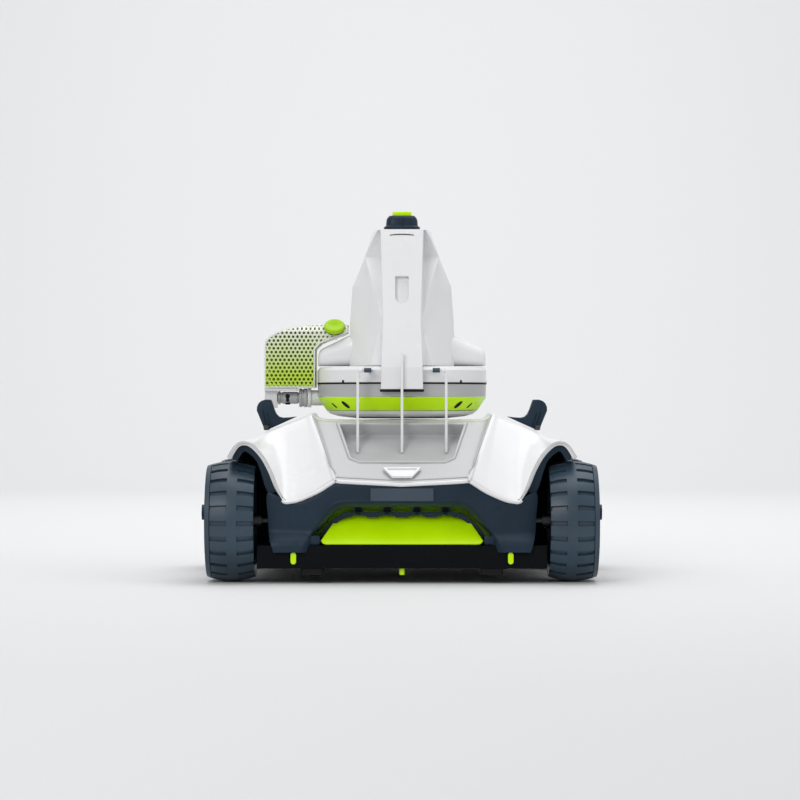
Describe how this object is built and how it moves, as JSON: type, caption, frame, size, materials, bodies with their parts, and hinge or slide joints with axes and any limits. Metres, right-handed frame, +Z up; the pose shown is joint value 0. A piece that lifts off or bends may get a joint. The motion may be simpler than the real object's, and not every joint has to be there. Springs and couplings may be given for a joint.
{
  "type": "pool cleaner",
  "caption": "Wheeled pool cleaner with a sloping hood, front intake flap, round pump turret, tall mast with quick-release cap, and a side mesh basket.",
  "frame": {"origin": "on the ground, in the middle of the wheelbase and between the wheels", "axes": "+Z up, -Y to the front with the intake mouth, +X to the object's left as seen from its rear and to the right as seen from the front"},
  "size_m": [0.431, 0.33, 0.3757],
  "materials": {
    "white_shell": "gloss",
    "silver_panel": "satin",
    "navy_plastic": "satin",
    "slate_plastic": "satin",
    "black_plastic": "matte",
    "lime_plastic": "gloss",
    "lime_mesh": "satin",
    "liner_mesh": "woven",
    "tyre_rubber": "matte",
    "black_rubber": "matte",
    "stainless_steel": "brushed",
    "motor_can": "satin",
    "battery_case": "matte",
    "circuit_board": "satin"
  },
  "bodies": {
    "chassis": {"top_cover": "white_shell", "finger_pull": "white_shell", "guide_fins": "white_shell", "base_bowl": "white_shell", "turret_shell": "white_shell", "mast_shell": "white_shell", "spine_cover": "white_shell", "outlet_port": "white_shell", "outlet_elbow": "white_shell", "deck_panel": "silver_panel", "mid_ring": "silver_panel", "front_bumper": "navy_plastic", "rear_bumper": "navy_plastic", "intake_comb": "navy_plastic", "bumper_plate": "slate_plastic", "fin_brackets": "slate_plastic", "chassis_tub": "black_plastic", "bottom_plate": "black_plastic", "intake_throat": "lime_plastic", "jet_ring": "lime_plastic", "drain_plug": "lime_plastic", "gasket_ring": "black_rubber", "shaft_seal": "black_rubber", "feet": "black_rubber", "flap_pin": "stainless_steel", "lever_pins": "stainless_steel", "axle_front_left": "stainless_steel", "axle_front_right": "stainless_steel", "axle_bearings": "stainless_steel", "screws": "stainless_steel", "pump_motor": "motor_can", "drive_motors": "motor_can", "battery_pack": "battery_case", "control_board": "circuit_board"},
    "wheel_front_left": {"tyre_front_left": "tyre_rubber", "rim_front_left": "slate_plastic"},
    "wheel_front_right": {"tyre_front_right": "tyre_rubber", "rim_front_right": "slate_plastic"},
    "wheel_rear_left": {"tyre_rear_left": "tyre_rubber", "rim_rear_left": "slate_plastic", "axle_rear_left": "stainless_steel", "wheel_nut_left": "navy_plastic"},
    "wheel_rear_right": {"tyre_rear_right": "tyre_rubber", "rim_rear_right": "slate_plastic", "axle_rear_right": "stainless_steel", "wheel_nut_right": "navy_plastic"},
    "drive_pinion_left": {"pinion_left": "stainless_steel"},
    "drive_pinion_right": {"pinion_right": "stainless_steel"},
    "pump_rotor": {"impeller": "slate_plastic"},
    "latch_lever_left": {"lever_left": "navy_plastic"},
    "latch_lever_right": {"lever_right": "navy_plastic"},
    "flap": {"intake_flap": "lime_plastic"},
    "cap": {"top_cap": "navy_plastic"},
    "tab": {"release_tab": "lime_plastic"},
    "basket": {"mesh_basket": "lime_mesh", "basket_liner": "liner_mesh"},
    "knob": {"basket_knob": "lime_plastic"},
    "collar": {"coupling_collar": "silver_panel"},
    "base_catch_left": {"catch_left": "lime_plastic"},
    "base_catch_right": {"catch_right": "lime_plastic"}
  },
  "joints": [
    {"name": "wheel_front_left_spin", "type": "hinge", "parent": "chassis", "child": "wheel_front_left", "pos_m": [-0.17, -0.105, 0.06], "axis": [1, 0, 0], "continuous": true},
    {"name": "wheel_front_right_spin", "type": "hinge", "parent": "chassis", "child": "wheel_front_right", "pos_m": [0.17, -0.105, 0.06], "axis": [1, 0, 0], "continuous": true},
    {"name": "wheel_rear_left_spin", "type": "hinge", "parent": "chassis", "child": "wheel_rear_left", "pos_m": [-0.17, 0.105, 0.06], "axis": [1, 0, 0], "continuous": true},
    {"name": "wheel_rear_right_spin", "type": "hinge", "parent": "chassis", "child": "wheel_rear_right", "pos_m": [0.17, 0.105, 0.06], "axis": [1, 0, 0], "continuous": true},
    {"name": "pinion_left_spin", "type": "hinge", "parent": "chassis", "child": "drive_pinion_left", "pos_m": [-0.103, 0.081, 0.06], "axis": [1, 0, 0], "continuous": true},
    {"name": "pinion_right_spin", "type": "hinge", "parent": "chassis", "child": "drive_pinion_right", "pos_m": [0.103, 0.081, 0.06], "axis": [1, 0, 0], "continuous": true},
    {"name": "impeller_spin", "type": "hinge", "parent": "chassis", "child": "pump_rotor", "pos_m": [0, 0.01, 0.17], "axis": [0, 0, 1], "continuous": true},
    {"name": "lever_left_swing", "type": "hinge", "parent": "chassis", "child": "latch_lever_left", "pos_m": [-0.139, -0.031, 0.1525], "axis": [0, -1, 0], "range_deg": [0, 60]},
    {"name": "lever_right_swing", "type": "hinge", "parent": "chassis", "child": "latch_lever_right", "pos_m": [0.139, -0.031, 0.1525], "axis": [0, 1, 0], "range_deg": [0, 60]},
    {"name": "flap_swing", "type": "hinge", "parent": "chassis", "child": "flap", "pos_m": [0, -0.138, 0.0415], "axis": [-1, 0, 0], "range_deg": [0, 35], "stiffness_Nm_per_rad": 0.01, "springref_deg": -22.92},
    {"name": "cap_lift", "type": "slide", "parent": "chassis", "child": "cap", "axis": [0, 0, 1], "range_m": [0, 0.03]},
    {"name": "tab_press", "type": "slide", "parent": "cap", "child": "tab", "axis": [0, 0, -1], "range_m": [0, 0.003], "stiffness_N_per_m": 300, "springref_m": -0.002},
    {"name": "basket_lift", "type": "slide", "parent": "chassis", "child": "basket", "axis": [0, 0, 1], "range_m": [0, 0.05]},
    {"name": "knob_turn", "type": "hinge", "parent": "basket", "child": "knob", "pos_m": [-0.07, -0.003, 0.2555], "axis": [0, -0.6428, 0.766], "range_deg": [0, 90]},
    {"name": "collar_twist", "type": "hinge", "parent": "chassis", "child": "collar", "pos_m": [-0.115, 0.01, 0.1833], "axis": [1, 0, 0], "range_deg": [0, 60]},
    {"name": "catch_left_press", "type": "slide", "parent": "chassis", "child": "base_catch_left", "axis": [0, 0, 1], "range_m": [0, 0.003], "stiffness_N_per_m": 200, "springref_m": -0.002},
    {"name": "catch_right_press", "type": "slide", "parent": "chassis", "child": "base_catch_right", "axis": [0, 0, 1], "range_m": [0, 0.003], "stiffness_N_per_m": 200, "springref_m": -0.002}
  ],
  "couplings": [
    {"joint": "pinion_left_spin", "follows": "wheel_rear_left_spin", "ratio": -3},
    {"joint": "pinion_right_spin", "follows": "wheel_rear_right_spin", "ratio": -3}
  ]
}
